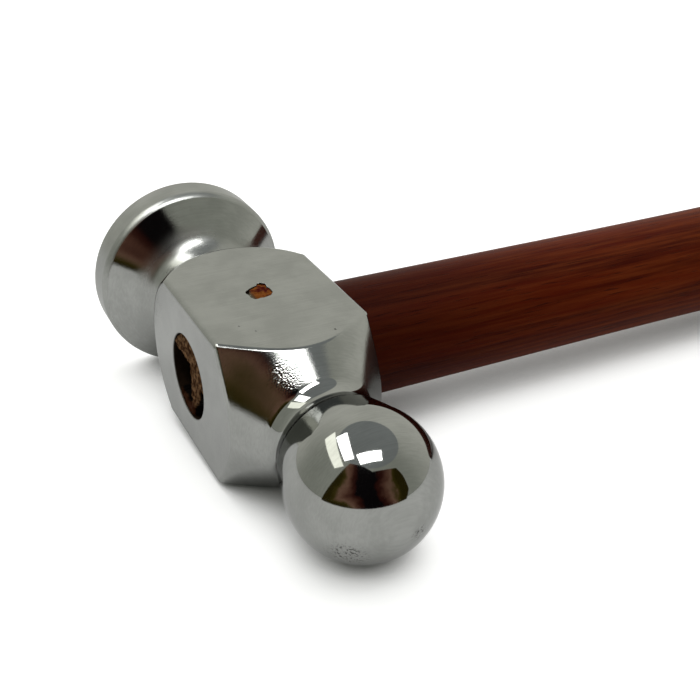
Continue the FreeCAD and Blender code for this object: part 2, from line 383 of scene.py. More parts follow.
class Skin:
    """A surface in the making: points with normals and marks, and the faces between them. A mark
    is a share from 0 to 1 that the material reads as an attribute of that name."""

    def __init__(self, *marks):
        self.points = []
        self.normals = []
        self.faces = []
        self.marks = {name: [] for name in marks}

    def add(self, point, normal=no_normal, **marks):
        self.points.append(Vector(point))
        self.normals.append(Vector(normal))
        for name, values in self.marks.items():
            values.append(marks.get(name, 0.0))
        return len(self.points) - 1

    def row(self, points, normals=None, **marks):
        normals = normals or [no_normal] * len(points)
        return [self.add(point, normal, **marks) for point, normal in zip(points, normals)]

    def bridge(self, first, second, places=None):
        """Quads between two closed rows, all around or at some places."""
        for k in places or range(len(first)):
            after = (k + 1) % len(first)
            self.faces.append((first[k], second[k], second[after], first[after]))

    def bridge_all(self, rows):
        for first, second in zip(rows, rows[1:]):
            self.bridge(first, second)

    def fan(self, centre, row):
        for k in range(len(row)):
            self.faces.append((centre, row[k], row[(k + 1) % len(row)]))

    def sheet(self, loops, flat, loose=()):
        """Triangles inside the first loop and outside the others, with the loose points. flat
        lays a point into a plane, as seen from outside the surface."""
        spots = [[flat(self.points[i]) for i in loop] for loop in loops]
        every = [i for loop in loops for i in loop] + list(loose)
        at = {i: k for k, i in enumerate(every)}
        edges = [(at[a], at[b]) for loop in loops for a, b in zip(loop, loop[1:] + loop[:1])]
        points = [flat(self.points[i]) for i in every]
        places, _, triangles, origins, _, _ = delaunay_2d_cdt(points, edges, [], 0, 1e-9)
        for triangle in triangles:
            middle = sum((places[i] for i in triangle), Vector((0, 0))) / 3
            if inside(middle, spots[0]) and not any(inside(middle, hole) for hole in spots[1:]):
                self.faces.append(tuple(every[origins[i][0]] for i in triangle))

    def to_object(self, name, material):
        piece = new_piece(name, [working @ point for point in self.points], self.faces, material)
        piece.data.polygons.foreach_set("use_smooth", [True] * len(self.faces))
        turn = working.to_3x3()
        piece.data.normals_split_custom_set_from_vertices([turn @ n for n in self.normals])
        for mark, values in self.marks.items():
            add_mark(piece, mark, values)
        return piece


def inside(spot, loop):
    within = False
    for a, b in zip(loop, loop[-1:] + loop[:-1]):
        if (a.y > spot.y) != (b.y > spot.y):
            if spot.x < (b.x - a.x) * (spot.y - a.y) / (b.y - a.y) + a.x:
                within = not within
    return within


def smooth(low, high, value):
    """0 below low, 1 above high, and a smooth step between."""
    share = min(max((value - low) / (high - low), 0), 1)
    return share * share * (3 - 2 * share)


def heading(angle):
    return Vector((math.cos(angle), math.sin(angle)))


# The head's turned outline: a 2D vector holds the radius and the place along the head's axis.

def arc(centre, start, end, steps, side):
    """Points and normals along an arc; side is 1 for a bulge and -1 for a hollow."""
    spoke, other = start - centre, end - centre
    first = math.atan2(spoke.y, spoke.x)
    sweep = math.atan2(spoke.cross(other), spoke.dot(other))
    found = []
    for step in range(steps + 1):
        out = heading(first + sweep * step / steps)
        found.append((centre + out * spoke.length, out * side))
    return found


def straight(start, end, steps, normal):
    """Points and normals of a straight stretch, without its start."""
    return [(start.lerp(end, step / steps), normal) for step in range(1, steps + 1)]


class Cone:
    """Conical stretch of the turned outline that passes through a point."""

    def __init__(self, through, slope):
        self.through = through
        self.along = heading(math.pi / 2 - slope)
        self.out = heading(-slope)

    def at(self, radius):
        """Point and normal of the cone at a radius."""
        return self.through + self.along * ((radius - self.through.x) / self.along.x), self.out

    def hollow(self, width, centre, radius=0.0):
        """Centre of a hollow, width its radius, that touches the cone and a ball about centre."""
        start = self.through + self.out * width - centre
        ahead = start.dot(self.along)
        run = math.sqrt(ahead ** 2 - start.length_squared + (radius + width) ** 2) - ahead
        return centre + start + self.along * run


class Turned:
    """Centres and joining points of the head's turned outline."""

    def __init__(self):
        self.ball = Vector((0, -ball_place))
        self.root_end = Vector((root_radius, -root_place))
        to_end = self.root_end - self.ball
        touch = math.atan2(to_end.y, to_end.x) - math.acos(ball_radius / to_end.length)
        self.root_normal = heading(touch)
        self.root = self.ball + self.root_normal * ball_radius

        self.cone = Cone(Vector((half_width, -peen_flat_reach)), cone_slope)
        self.peen_neck = self.cone.hollow(peen_hollow, self.root_end)
        self.cone_start = self.peen_neck - self.cone.out * peen_hollow
        self.cove = self.cone.at(cove_start)[0] + self.cone.out * cove_radius

        self.shoulder = Vector((0, face_shoulder_place))
        self.flare = Cone(Vector((rim_radius, face_place - rim_width)), flare_slope)
        self.face_neck = self.flare.hollow(face_hollow, self.shoulder, face_shoulder_radius)
        to_neck = (self.face_neck - self.shoulder).normalized()
        self.shoulder_end = self.shoulder + to_neck * face_shoulder_radius
        self.flare_start = self.face_neck - self.flare.out * face_hollow
        inner_radius = rim_radius - rim_inner_rounding * (1 - self.flare.out.x)
        self.flare_end = self.flare.at(inner_radius)[0]
        self.inner = self.flare_end - self.flare.out * rim_inner_rounding

    def cove_at(self, radius):
        """Point and normal of the cone, or of the cove outside it, at a radius."""
        if radius < cove_start:
            return self.cone.at(radius)
        rise = math.sqrt(cove_radius ** 2 - (self.cove.x - radius) ** 2)
        spot = Vector((radius, self.cove.y + rise))
        return spot, (self.cove - spot).normalized()

    def shoulder_at(self, radius):
        """Point and normal of the bulged shoulder at a radius."""
        rise = math.sqrt(face_shoulder_radius ** 2 - radius ** 2)
        spot = Vector((radius, self.shoulder.y + rise))
        return spot, (spot - self.shoulder).normalized()

    def ball_side(self):
        """Outline from just off the tip of the ball to the start of the cone."""
        tip = self.ball - Vector((0, ball_radius))
        found = arc(self.ball, tip, self.root, ball_steps, 1)[1:]
        groove = arc(self.peen_neck, self.root_end, self.cone_start, neck_steps, -1)[1:]
        ease = (groove[0][0] - self.root_end).length
        eased_end = self.root_end + (self.root - self.root_end).normalized() * ease
        return found + [(eased_end, self.root_normal)] + groove

    def flared_side(self):
        """Outline from the end of the bulged shoulder to the edge of the striking face."""
        band_start = Vector((rim_radius, self.inner.y))
        outer = Vector((rim_radius - face_edge_rounding, face_place - face_edge_rounding))
        band_end = Vector((rim_radius, outer.y))
        face_edge = Vector((outer.x, face_place))
        found = arc(self.face_neck, self.shoulder_end, self.flare_start, neck_steps, -1)
        found += straight(self.flare_start, self.flare_end, flare_steps, self.flare.out)[:-1]
        found += arc(self.inner, self.flare_end, band_start, 2 * rounding_steps, 1)
        found += arc(outer, band_end, face_edge, 2 * rounding_steps, 1)
        return found


def section():
    """The square's section in X and Z: a point and a normal for each column, from the side that
    faces +X on towards +Z, each side followed by its rounded corner."""
    flat = half_width - body_edge_rounding
    reach = math.atan2(flat, half_width)
    columns = []
    for side in range(4):
        turn = Matrix.Rotation(side * math.pi / 2, 2)
        for step in range(side_steps + 1):
            angle = reach * (2 * step / side_steps - 1)
            point = Vector((half_width, half_width * math.tan(angle)))
            columns.append((turn @ point, turn @ Vector((1, 0))))
        for step in range(1, corner_steps):
            out = heading(math.pi / 2 * step / corner_steps)
            columns.append((turn @ (Vector((flat, flat)) + out * body_edge_rounding), turn @ out))
    return columns


def swung(spot, angle):
    """A point or normal of the outline, swung about the head's axis."""
    return Vector((math.cos(angle) * spot.x, spot.y, math.sin(angle) * spot.x))


def shoulder_rows(skin, start, columns, turned_at):
    """Rows of a turned shoulder, from a ring of it over its rounded edge to the milled flats."""
    strips = []
    for point, normal in columns:
        angle = math.atan2(point.y, point.x)
        spot, out = turned_at(point.length)
        first, last = swung(out, angle), Vector((normal.x, 0, normal.y))
        centre = swung(spot, angle) - (first + last) * milled_edge_rounding / (1 + first.dot(last))
        end = centre + first * milled_edge_rounding
        turn = math.remainder(math.atan2(end.z, end.x) - angle, math.tau)
        strip = []
        for step in range(1, shoulder_steps):
            share = step / shoulder_steps
            spot, out = turned_at(start.x + (end.xz.length - start.x) * share)
            strip.append((swung(spot, angle + turn * share), swung(out, angle + turn * share)))
        for step in range(rounding_steps + 1):
            out = first.slerp(last, step / rounding_steps)
            strip.append((centre + out * milled_edge_rounding, out))
        strips.append(strip)
    *inner, outermost = [zip(*row) for row in zip(*strips)]
    rows = [skin.row(*row, grain=1.0) for row in inner]
    return rows + [skin.row(*outermost, grain=1.0, satin=flat_satin)]


def spokes(count):
    """Directions from the X axis, going around it from +Y towards +Z."""
    return [Vector((0, *heading(math.tau * k / count))) for k in range(count)]


def mouth_rows(skin, around, up, rounding):
    """Rows of the rounded mouth of a hole in the flat that faces up. around holds directions from
    the hole's axis, with its radius in each."""
    rows = []
    for step in range(rounding_steps + 1):
        lean = math.pi / 2 * step / rounding_steps
        grow = rounding * (1 - math.sin(lean))
        rise = up * (half_width - rounding * (1 - math.cos(lean)))
        points = [out * (reach + grow) + rise for out, reach in around]
        normals = [up * math.cos(lean) - out * math.sin(lean) for out, _ in around]
        rows.append(skin.row(points, normals, satin=flat_satin, bore=step / rounding_steps))
    return rows


def mouth_radius(angle):
    """Radius of the chipped, ragged mouth of the pin's hole at an angle: midway between the
    chips' own outlines and the straight lines that bridge them."""
    out = heading(angle)
    reach = pin_hole
    for x, y, radius in chips:
        along = x * out.x + y * out.y
        inner = radius ** 2 - x ** 2 - y ** 2 + along ** 2
        if inner > 0:
            reach = max(reach, along + math.sqrt(inner))
    bridged = 2 * reach
    for step in range(1 - mouth_steps // 6, mouth_steps // 6):
        lean = math.tau * step / mouth_steps
        facing = heading(angle + lean)
        support = max(x * facing.x + y * facing.y + radius for x, y, radius in chips)
        bridged = min(bridged, max(support, pin_hole) / math.cos(lean))
    ragged = sum(share * noise.noise((*out * scale, seed)) for scale, seed, share in mouth_noise)
    return (reach + bridged) / 2 + ragged * mouth_raggedness


def around_pin():
    angles = [math.tau * k / mouth_steps for k in range(mouth_steps)]
    return [(heading(angle).to_3d(), mouth_radius(angle)) for angle in angles]


def pin_mouth(skin):
    """Rows of the pin's hole: its ragged mouth, the floor of the chips, and down to the eye."""
    around = around_pin()
    rows = mouth_rows(skin, around, Vector((0, 0, 1)), mouth_rounding)
    floor = Vector((0, 0, half_width - chip_depth))
    rows.append(skin.row([out * reach + floor for out, reach in around], bore=1.0))
    wall = [out * pin_hole for out, _ in around]
    rows.append(skin.row([spot + floor for spot in wall], bore=1.0))
    foot = [(spot.x, spot.y, math.sqrt(eye_radius ** 2 - spot.y ** 2)) for spot in wall]
    rows.append(skin.row(foot, bore=1.0))
    return rows


def bore(skin, near, far, hole):
    """Wall of the eye between its two mouths, with the pin's hole between 60 and 120 degrees."""
    first, last = eye_steps // 6, eye_steps // 3
    skin.bridge(near, far, [k for k in range(eye_steps) if not first <= k < last])
    outline = far[first:last + 1] + near[first:last + 1][::-1]
    skin.sheet([outline, hole], lambda p: Vector((p.x, eye_radius * math.atan2(p.z, p.y))))


def make_head(material):
    skin = Skin("grain", "satin", "bore")
    turned = Turned()
    columns = section()
    angles = [math.atan2(point.y, point.x) for point, _ in columns]

    def ring(spot, normal, **marks):
        points = [swung(spot, angle) for angle in angles]
        return skin.row(points, [swung(normal, angle) for angle in angles], **marks)

    tip = skin.add((0, -ball_place - ball_radius, 0), (0, -1, 0))
    rows = [ring(spot, normal) for spot, normal in turned.ball_side()]
    skin.fan(tip, rows[0])
    rows += shoulder_rows(skin, turned.cone_start, columns, turned.cove_at)
    skin.bridge_all(rows)
    near = rows[-1]

    rows = shoulder_rows(skin, turned.shoulder_end, columns, turned.shoulder_at)[::-1]
    far = rows[0]
    flare_middle = (turned.flare_start.y + turned.flare_end.y) / 2
    for spot, normal in turned.flared_side():
        satin = smooth(flare_middle, turned.flare_start.y, spot.y) * neck_satin
        if spot.y > turned.flare_end.y:
            satin = 1.0
        rows.append(ring(spot, normal, grain=flare_grain, satin=satin))
    edge_radius = rim_radius - face_edge_rounding
    for k in range(1, face_rings):
        spot = Vector((edge_radius * (1 - k / face_rings), face_place))
        rows.append(ring(spot, Vector((0, 1)), satin=flat_satin))
    skin.bridge_all(rows)
    skin.fan(skin.add((0, face_place, 0), (0, 1, 0), satin=flat_satin), rows[-1][::-1])

    around = [(out, eye_radius) for out in spokes(eye_steps)]
    inner = mouth_rows(skin, around, Vector((1, 0, 0)), eye_edge_rounding)
    outer = mouth_rows(skin, around, Vector((-1, 0, 0)), eye_edge_rounding)
    hole = pin_mouth(skin)
    for rows in (inner[::-1], outer, hole[::-1]):
        skin.bridge_all(rows)
    bore(skin, outer[-1], inner[-1], hole[-1])

    for side, opening in enumerate(([inner[0]], [hole[0]], [outer[0]], [])):
        start = side * (side_steps + corner_steps)
        corner = start + side_steps
        skin.bridge(near, far, range(corner, corner + corner_steps))
        turn = Matrix.Rotation(-side * math.pi / 2, 2)
        outline = near[start:corner + 1] + far[start:corner + 1][::-1]
        skin.sheet([outline] + opening, lambda p: Vector(((turn @ p.xz).y, -p.y)))
    return skin.to_object("chromed_head", material)


def handle_outline():
    """Rows of the handle from the tenon's end to the butt, as 2D points and normals: the place
    along the handle, and the radius."""
    along, out = Vector((1, 0)), Vector((0, 1))
    tenon_foot = Vector((handle_shoulder, tenon_radius))
    rows = straight(Vector((tenon_end, tenon_radius)), tenon_foot, tenon_steps, out)
    rows.append((tenon_foot + out * crease, -along))
    corner = Vector((handle_shoulder + shaft_chamfer, shaft_radius - shaft_chamfer))
    shaft = corner + out * shaft_chamfer
    rows += arc(corner, corner - along * shaft_chamfer, shaft, chamfer_steps, 1)
    rows += straight(shaft, Vector((shaft_end, shaft_radius)), shaft_steps, out)

    butt_edge = handle_reach - butt_dome
    rounding = Vector((butt_edge - butt_rounding, butt_radius - butt_rounding))
    knots = [(shaft_end, shaft_radius), waist, grip, (rounding.x, butt_radius)]
    for k in range(1, grip_steps + 1):
        x = shaft_end + (rounding.x - shaft_end) * k / grip_steps
        radius, slope = swell(knots, x)
        rows.append((Vector((x, radius)), Vector((-slope, 1)).normalized()))
    dome_edge = rounding + along * butt_rounding
    rows += arc(rounding, rounding + out * butt_rounding, dome_edge, butt_steps, 1)[1:]
    dome_radius = (dome_edge.y ** 2 + butt_dome ** 2) / (2 * butt_dome)
    dome = Vector((handle_reach - dome_radius, 0))
    rows += arc(dome, dome_edge, Vector((handle_reach, 0)), dome_steps, 1)[1:-1]
    return rows


def swell(knots, x):
    """Radius and slope at x of the smooth curve through four knots, level at the first."""
    spans = list(zip(knots, knots[1:]))
    h0, h1, h2 = steps = [b[0] - a[0] for a, b in spans]
    rises = [(b[1] - a[1]) / step for (a, b), step in zip(spans, steps)]
    # The slopes at the two inner knots keep the bend even on both sides of each.
    right = 3 * (rises[0] * h1 + rises[1] * h0)
    other_right = 3 * (rises[1] * h2 + rises[2] * h1) - h1 * butt_slope
    a, b, c, d = 2 * (h0 + h1), h0, h2, 2 * (h1 + h2)
    first = (right * d - b * other_right) / (a * d - b * c)
    slopes = [0, first, (other_right - c * first) / d, butt_slope]
    k = sum(x >= place for place, _ in knots[1:3])
    h = steps[k]
    t = (x - knots[k][0]) / h
    start, end, leave, arrive = knots[k][1], knots[k + 1][1], slopes[k] * h, slopes[k + 1] * h
    bend = 3 * (end - start) - 2 * leave - arrive
    twist = 2 * (start - end) + leave + arrive
    radius = start + t * (leave + t * (bend + t * twist))
    return radius, (leave + t * (2 * bend + 3 * t * twist)) / h


def wedge_loop(x, grow):
    """Outline of the wedge at a place along the handle, each face moved out by grow."""
    thick = (wedge_thick_end - wedge_taper * (x - tenon_end - wedge_recess)) / 2 + grow
    wide = wedge_width / 2 + grow
    corners = []
    for y, z in ((1, -1), (1, 1), (-1, 1), (-1, -1)):
        corners.append(Vector((x, wedge_offset + y * thick, wedge_middle + z * wide)))
    points = []
    for start, end in zip(corners, corners[1:] + corners[:1]):
        step = (end - start) / (2 * wedge_steps)
        points += [start + step * k for k in range(2 * wedge_steps)]
    return points


def beyond_wedge(y, z):
    """How far a point of the tenon's end lies outside the wedge's pocket."""
    across = abs(y - wedge_offset) - wedge_thick_end / 2 - fit_clearance
    up = abs(z - wedge_middle) - wedge_width / 2 - fit_clearance
    return math.hypot(max(across, 0), max(up, 0)) + min(max(across, up), 0)


def fractal(x, y, per_mm, octaves=4):
    """Fractal noise over a plane."""
    return noise.fractal(Vector((x, y, 0)) / MM * per_mm, 1.0, 2.0, octaves)


def torn_point(skin, y, z):
    """Point of the torn end of the tenon, marked dark, as painted shade, where it lies deep in the
    wedge's pocket and in the gap broken out at the rim.
    """
    tufts = 0.5 + 0.5 * fractal(y, z, tufts_per_mm)
    spot = Vector((y, z, 0)) / MM
    ragged = sum(share * abs(noise.noise(spot * per_mm)) for per_mm, share in ragged_noise)
    beyond = beyond_wedge(min(y + pocket_loss, wedge_offset), z)  # all of it on the face side
    pocket = 1 - smooth(0, pocket_brink, beyond - ragged * pocket_raggedness)
    off_rim = tenon_radius - math.hypot(y, z) + ragged * gap_raggedness
    gap = 1 - smooth(gap_floor, gap_width, off_rim)
    gap *= smooth(*gap_below, -z) * smooth(*gap_beside, -y)
    depth = (tufts - tuft_rise) * tuft_height + gap * gap_depth
    depth += pocket * (wedge_recess - pocket_lip - depth)
    return skin.add((tenon_end + depth, y, z), torn=1.0, dark=max(pocket, gap_shade * gap))


def torn_end(skin, outs):
    """The torn end of the tenon and the wedge's pocket; returns the rows of the end's rim."""
    reach = tenon_radius - end_rounding
    rim = [torn_point(skin, out.y * reach, out.z * reach) for out in outs]
    loose = []
    count = math.ceil(tenon_radius / torn_spacing)
    for i in range(-count, count + 1):
        for j in range(-count, count + 1):
            y = (i + 0.5 * (j % 2)) * torn_spacing
            z = j * torn_spacing * math.sqrt(0.75)
            off_rim = reach - math.hypot(y, z)
            if min(off_rim, beyond_wedge(y, z)) > 0.5 * torn_spacing:
                loose.append(torn_point(skin, y, z))
    inner_end = tenon_end + wedge_recess + wedge_length + fit_clearance
    pocket = []
    # The pocket's walls are marked fully dark: painted shade.
    for x in (tenon_end + wedge_recess - pocket_lip, inner_end):
        pocket.append(skin.row(wedge_loop(x, fit_clearance), torn=1.0, dark=1.0))
    skin.sheet([rim, pocket[0]], lambda p: p.zy, loose)
    skin.bridge(pocket[1], pocket[0])
    skin.sheet([pocket[1]], lambda p: p.zy)

    edge = []
    for out, i in zip(outs, rim):
        edge.append(out * tenon_radius + Vector((skin.points[i].x + end_rounding, 0, 0)))
    return [rim, skin.row(edge, torn=1.0)]


def make_handle(material):
    skin = Skin("torn", "dark")
    outs = spokes(handle_columns)
    rows = torn_end(skin, outs)
    for spot, normal in handle_outline():
        points = [Vector((spot.x, 0, 0)) + out * spot.y for out in outs]
        normals = [Vector((normal.x, 0, 0)) + out * normal.y for out in outs]
        rows.append(skin.row(points, normals))
    skin.bridge_all(rows[::-1])
    skin.fan(skin.add((handle_reach, 0, 0), (1, 0, 0)), rows[-1])
    return skin.to_object("varnished_handle", material)


def make_pin(material):
    """Cross pin: its peened end fills the chipped mouth, and its shank goes on into the eye."""
    skin = Skin("bare")
    around = around_pin()

    def peened(x, y, share):
        bumps = fractal(x, y, pin_bumps_per_mm) * pin_bumps
        bare = 1 - smooth(*bare_side, x)
        sink = pin_recess + pin_crown * share ** 3 + bare_sink * bare
        return skin.add((x, y, half_width + bumps - sink), bare=bare)

    centre = peened(0, 0, 0)
    rows = []
    for ring in range(1, pin_rings + 1):
        share = ring / pin_rings
        points = [out * (reach - fit_clearance) * share for out, reach in around]
        rows.append([peened(point.x, point.y, share) for point in points])
    skin.fan(centre, rows[0])
    floor = half_width - chip_depth + fit_clearance
    for radii, z in (
        ([reach - fit_clearance for _, reach in around], floor),
        ([pin_radius] * mouth_steps, floor),
        ([pin_radius] * mouth_steps, pin_foot + pin_chamfer),
        ([pin_radius - pin_chamfer] * mouth_steps, pin_foot),
    ):
        rows.append(skin.row([out * r + Vector((0, 0, z)) for (out, _), r in zip(around, radii)]))
    skin.bridge_all(rows)
    skin.fan(skin.add((0, 0, pin_foot)), rows[-1][::-1])
    return skin.to_object("rusted_pin", material)


def make_wedge(material):
    """Steel wedge, its struck end rough at the bottom of the pocket."""
    skin = Skin()
    start = tenon_end + wedge_recess
    places = [(start, -wedge_chamfer), (start + wedge_chamfer, 0), (start + wedge_length, 0)]
    rows = [skin.row(wedge_loop(x, grow)) for x, grow in places]
    skin.bridge_all(rows[::-1])
    skin.sheet([rows[-1]], lambda p: p.yz)
    loose = []
    for i in range(1, 2 * wedge_steps):
        for j in range(1, 4 * wedge_steps):
            y = (i / wedge_steps - 1) * (wedge_thick_end / 2 - wedge_chamfer)
            z = (j / wedge_steps / 2 - 1) * (wedge_width / 2 - wedge_chamfer)
            dent = wedge_dents * abs(fractal(y, z, wedge_dents_per_mm, 3))
            loose.append(skin.add((start + dent, wedge_offset + y, wedge_middle + z)))
    skin.sheet([rows[0]], lambda p: p.zy, loose)
    return skin.to_object("steel_wedge", material)


# Materials

class Nodes:
    """The nodes of a material or world."""

    def __init__(self, owner):
        owner.use_nodes = True
        self.owner = owner
        self.tree = owner.node_tree

    def add(self, kind, sockets=None, **settings):
        """A new node; sockets holds values or links for its inputs."""
        node = self.tree.nodes.new("ShaderNode" + kind)
        for name, value in settings.items():
            setattr(node, name, value)
        self.fill(node, sockets or {})
        return node

    def fill(self, node, sockets):
        for name, value in sockets.items():
            socket = node.inputs[name]
            if isinstance(value, bpy.types.NodeSocket):
                self.tree.links.new(value, socket)
            else:
                socket.default_value = (*value, 1.0) if socket.type == "RGBA" else value

    def math(self, operation, *values):
        return self.add("Math", dict(enumerate(values)), operation=operation).outputs[0]

    def vector(self, operation, *values, **sockets):
        sockets.update(enumerate(values))
        node = self.add("VectorMath", sockets, operation=operation)
        is_number = operation in ("DISTANCE", "DOT_PRODUCT")
        return node.outputs["Value" if is_number else "Vector"]

    def noise_at(self, place, scale=1.0, **sockets):
        return self.add("TexNoise", {"Vector": place, "Scale": scale, **sockets}).outputs["Fac"]

    def mark(self, name):
        return self.add("Attribute", attribute_name=name).outputs["Fac"]

    def step(self, value, low, high, top=1.0):
        """0 where value is below low, top above high, smooth between."""
        sockets = dict(enumerate((value, low, high, 0.0, top)))
        return self.add("MapRange", sockets, interpolation_type="SMOOTHSTEP").outputs["Result"]

    def mix(self, share, first, second, kind="RGBA"):
        sockets = {"Factor": share, "A": first, "B": second}
        return self.add("Mix", sockets, data_type=kind).outputs["Result"]

    def blend(self, share, first, second):
        return self.mix(share, first, second, "FLOAT")

    def times(self, first, second):
        return self.math("MULTIPLY", first, second)

    def total(self, *weighted):
        """Sum of values, each given with its weight."""
        found = 0.0
        for value, weight in weighted:
            found = self.math("MULTIPLY_ADD", value, weight, found)
        return found

    def shade(self, **values):
        """The material, with values or links for its shader's sockets."""
        sockets = {name.replace("_", " "): value for name, value in values.items()}
        self.fill(self.tree.nodes["Principled BSDF"], sockets)
        return self.owner

    def glow(self, tone):
        """The material, shown by its own light alone."""
        self.tree.nodes.remove(self.tree.nodes["Principled BSDF"])
        light = self.add("Emission", {"Color": tone}).outputs[0]
        self.fill(self.tree.nodes["Material Output"], {"Surface": light})
        return self.owner


class Finish(Nodes):
    """A piece's material, with patterns laid in the working frame, in millimetres."""

    def __init__(self, name):
        super().__init__(bpy.data.materials.new(name))
        back = working.inverted()
        mapping = self.add("Mapping", {
            "Vector": self.add("TexCoord").outputs["Object"],
            "Location": back.to_translation() / MM,
            "Rotation": back.to_euler(),
            "Scale": (1 / MM, 1 / MM, 1 / MM),
        })
        self.place = mapping.outputs["Vector"]

    def noise(self, stretch, detail, roughness=0.5, distortion=0.0, offset=(0, 0, 0)):
        place = self.vector("MULTIPLY_ADD", self.place, stretch, offset)
        return self.noise_at(place, Detail=detail, Roughness=roughness, Distortion=distortion)

    def turned_noise(self, around, along, detail):
        """Noise in strokes around the head's axis, like the marks of turning."""
        ring = self.vector("NORMALIZE", self.vector("MULTIPLY", self.place, (1, 0, 1)))
        ring = self.vector("SCALE", ring, Scale=around)
        place = self.vector("MULTIPLY_ADD", self.place, (0, along, 0), ring)
        return self.noise_at(place, Detail=detail, Roughness=0.7)

    def part(self, axis):
        """Place along one axis, in mm."""
        return self.add("SeparateXYZ", {0: self.place}).outputs[axis]

    def near(self, spot, radius, edge=0.5):
        """1 around a spot, fading out from the edge share of the radius, in mm, to all of it."""
        distance = self.vector("DISTANCE", self.place, spot)
        return self.math("SUBTRACT", 1.0, self.step(distance, radius * edge, radius))

    def bump(self, height, distance):
        """Bump of a height field from 0 to 1, with its full rise in metres."""
        return self.add("Bump", {"Height": height, "Distance": distance}).outputs["Normal"]


def chrome():
    """Bright plating: a mirror on the ball, brushed on the flats and grainy on the shoulders."""
    nodes = Finish("chromed_steel")
    grain, satin, bore = nodes.mark("grain"), nodes.mark("satin"), nodes.mark("bore")
    smudges = nodes.noise(*smudge_noise)
    brushed = nodes.noise(*brush_noise)
    mottled = nodes.total(*zip((brushed, smudges), mottle_shares))
    tone = nodes.mix(nodes.step(mottled, *mottle_step), chrome_dull, chrome_bright)
    # Bore walls: dark rust, darkened to near black as painted shade in the holes
    rust = nodes.mix(nodes.noise(*bore_noise), bore_dark, bore_brown)
    polish = nodes.blend(grain, mirror_roughness, grain_roughness)
    roughness = nodes.blend(satin, polish, satin_roughness)
    roughness = nodes.math("MULTIPLY_ADD", smudges, smudge_roughness, roughness)

    patches = 0.0
    for spot, radius in pitted:
        patches = nodes.math("MAXIMUM", nodes.near(spot, radius, pitted_edge), patches)
    pits = nodes.times(nodes.step(nodes.noise(*dot_noise), *dot_step), patches)
    for spot, radius in single_pits:
        pits = nodes.math("MAXIMUM", nodes.near(spot, radius), pits)

    strokes = nodes.turned_noise(*stroke_scale, detail=4.0)
    specks = nodes.turned_noise(*speck_scale, detail=0.0)
    height = nodes.total(
        (nodes.times(strokes, grain), stroke_height),
        (nodes.times(specks, nodes.near(*speckled_patch, speckled_edge)), speckle_height),
        (nodes.times(brushed, satin), brush_height),
        (nodes.noise(*wave_noise), wave_height),
        (pits, pit_height),
    )
    return nodes.shade(
        Base_Color=nodes.mix(bore, nodes.mix(pits, tone, pit_colour), rust),
        Metallic=1.0,
        Roughness=nodes.blend(bore, roughness, bore_roughness),
        Specular_Tint=chrome_edge,
        Normal=nodes.bump(height, grain_height),
    )


def varnished_wood():
    """Red-brown stain under satin varnish, with pores along the grain; raw and torn in the eye."""
    nodes = Finish("varnished_wood")
    torn, dark = nodes.mark("torn"), nodes.mark("dark")
    streaks = nodes.noise(*streak_noise)
    pores = nodes.step(nodes.noise(*pore_noise), *pore_step)
    light = nodes.times(nodes.step(streaks, *streak_step), streak_share)
    # Painted shade: the stain darkens towards the head, partly deeper stain and partly the head's
    # shade
    away_from_head = nodes.step(nodes.part("X"), *head_shade_reach)
    near_head = nodes.math("MULTIPLY_ADD", away_from_head, -head_shade_share, head_shade_share)

    stain = nodes.mix(nodes.step(nodes.noise(*band_noise), *band_step), stain_deep, stain_red)
    stain = nodes.mix(light, stain, stain_light)
    stain = nodes.mix(nodes.times(pores, pore_share), stain, stain_pore)
    stain = nodes.mix(near_head, stain, stain_and_shade_dark)
    raw = nodes.mix(nodes.step(nodes.noise(*tuft_noise), *tuft_step), raw_dark, raw_light)
    raw = nodes.mix(nodes.step(nodes.part("Z"), *raw_red_step), raw, raw_red)
    # Painted shade: black in the wedge's pocket and the broken-out gap
    raw = nodes.mix(nodes.step(dark, *pocket_shade_step), raw, pocket_shade_black)
    varnish = nodes.math("MULTIPLY_ADD", streaks, streak_roughness, varnish_roughness)
    fibres = nodes.noise(*fibre_noise)
    height = nodes.total(*zip((streaks, fibres, pores), relief_shares))
    return nodes.shade(
        Base_Color=nodes.mix(torn, stain, raw),
        Roughness=nodes.blend(torn, varnish, raw_roughness),
        Specular_IOR_Level=0.02,
        Normal=nodes.bump(height, wood_relief),
    )


def dark_steel():
    nodes = Finish("dark_steel")
    blotches = nodes.noise(*blotch_noise)
    return nodes.shade(
        Base_Color=nodes.mix(blotches, wedge_dark, wedge_light),
        Metallic=0.6,
        Roughness=nodes.math("MULTIPLY_ADD", blotches, *wedge_roughness),
        Normal=nodes.bump(nodes.noise(*hammered_noise), wedge_relief),
    )


def rusted_steel():
    """Orange and dark red rust, with bare dark metal in the chip on one side."""
    nodes = Finish("rusted_steel")
    bare = nodes.mark("bare")
    crumbs = nodes.noise(*crumb_noise)
    rust = nodes.mix(nodes.step(nodes.noise(*patch_noise), *patch_step), rust_dark, rust_orange)
    pale = nodes.times(nodes.step(crumbs, *crumb_step), pale_share)
    return nodes.shade(
        Base_Color=nodes.mix(bare, nodes.mix(pale, rust, rust_pale), bare_metal),
        Metallic=nodes.times(bare, bare_metallic),
        Roughness=nodes.blend(bare, rust_roughness, bare_roughness),
        Specular_IOR_Level=0.03,
        Normal=nodes.bump(crumbs, rust_relief),
    )


# The room around the hammer: floor, lights, cards that only the metal shows, walls and camera.

